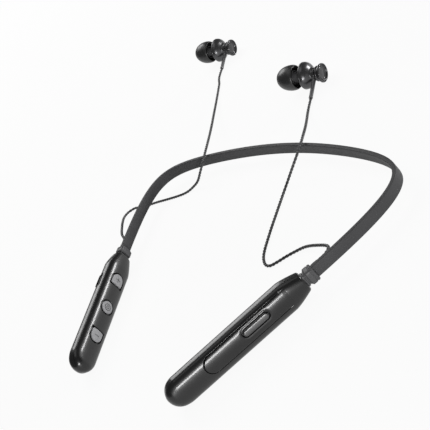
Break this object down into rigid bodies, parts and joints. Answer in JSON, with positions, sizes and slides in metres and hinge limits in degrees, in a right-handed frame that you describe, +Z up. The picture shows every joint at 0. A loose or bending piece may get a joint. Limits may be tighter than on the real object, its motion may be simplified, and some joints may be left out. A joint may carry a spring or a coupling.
{
  "type": "neckband earphones",
  "caption": "Neckband earphones: a silicone neck ribbon between a control pod and a battery pod, with a corded earbud from each pod.",
  "frame": {"origin": "middle of the outline on the table, cables left out", "axes": "+Z up from the table, -Y towards the open front of the band, +X towards the battery pod"},
  "size_m": [0.259, 0.2419, 0.0161],
  "materials": {
    "pod_gloss": "polished black",
    "panel_satin": "satin black",
    "button_grey": "satin grey",
    "band_silicone": "matte silicone",
    "collar_plastic": "satin",
    "tip_silicone": "soft silicone",
    "bud_shell": "glossy metallic lacquer",
    "cable_sheath": "matte",
    "inner_plastic": "moulded",
    "board_green": "solder mask",
    "inner_steel": "plain",
    "link_copper": "copper lead",
    "cell_wrap": "foil wrap"
  },
  "bodies": {
    "neckband": {"left_pod_outer_shell": "pod_gloss", "left_pod_inner_shell": "pod_gloss", "right_pod_outer_shell": "pod_gloss", "right_pod_inner_shell": "pod_gloss", "right_pod_panel": "panel_satin", "function_key_switch": "inner_plastic", "volume_up_switch": "inner_plastic", "power_switch": "inner_plastic", "volume_down_switch": "inner_plastic", "control_board": "board_green", "protection_board": "board_green", "radio_chip": "inner_plastic", "microphone": "inner_steel", "charge_port": "inner_steel", "charge_port_tongue": "inner_plastic", "battery": "cell_wrap", "neckband_strip": "band_silicone", "spring_core": "inner_steel", "link_wire": "link_copper", "left_band_collar": "collar_plastic", "right_band_collar": "collar_plastic", "left_cable_gland": "collar_plastic", "right_cable_gland": "collar_plastic", "left_cable": "cable_sheath", "right_cable": "cable_sheath", "left_bud_body": "bud_shell", "left_bud_nozzle": "bud_shell", "left_bud_rear_cap": "bud_shell", "left_bud_driver": "inner_plastic", "left_cap_magnet": "inner_steel", "left_nozzle_mesh": "inner_steel", "left_ear_tip": "tip_silicone", "left_strain_relief": "band_silicone", "right_bud_body": "bud_shell", "right_bud_nozzle": "bud_shell", "right_bud_rear_cap": "bud_shell", "right_bud_driver": "inner_plastic", "right_cap_magnet": "inner_steel", "right_nozzle_mesh": "inner_steel", "right_ear_tip": "tip_silicone", "right_strain_relief": "band_silicone"},
    "volume_up_button_body": {"volume_up_button": "button_grey"},
    "power_button_body": {"power_button": "button_grey"},
    "volume_down_button_body": {"volume_down_button": "button_grey"},
    "function_key_body": {"function_key": "button_grey"}
  },
  "joints": [
    {"name": "volume_up_press", "type": "slide", "parent": "neckband", "child": "volume_up_button_body", "axis": [-0.8846, -0.4664, 0], "range_m": [0, 0.0005], "stiffness_N_per_m": 300, "springref_m": -0.0004},
    {"name": "power_press", "type": "slide", "parent": "neckband", "child": "power_button_body", "axis": [-0.8846, -0.4664, 0], "range_m": [0, 0.0005], "stiffness_N_per_m": 300, "springref_m": -0.0004},
    {"name": "volume_down_press", "type": "slide", "parent": "neckband", "child": "volume_down_button_body", "axis": [-0.8846, -0.4664, 0], "range_m": [0, 0.0005], "stiffness_N_per_m": 300, "springref_m": -0.0004},
    {"name": "function_key_press", "type": "slide", "parent": "neckband", "child": "function_key_body", "axis": [-0.8846, 0.4664, 0], "range_m": [0, 0.0005], "stiffness_N_per_m": 300, "springref_m": -0.0004}
  ]
}
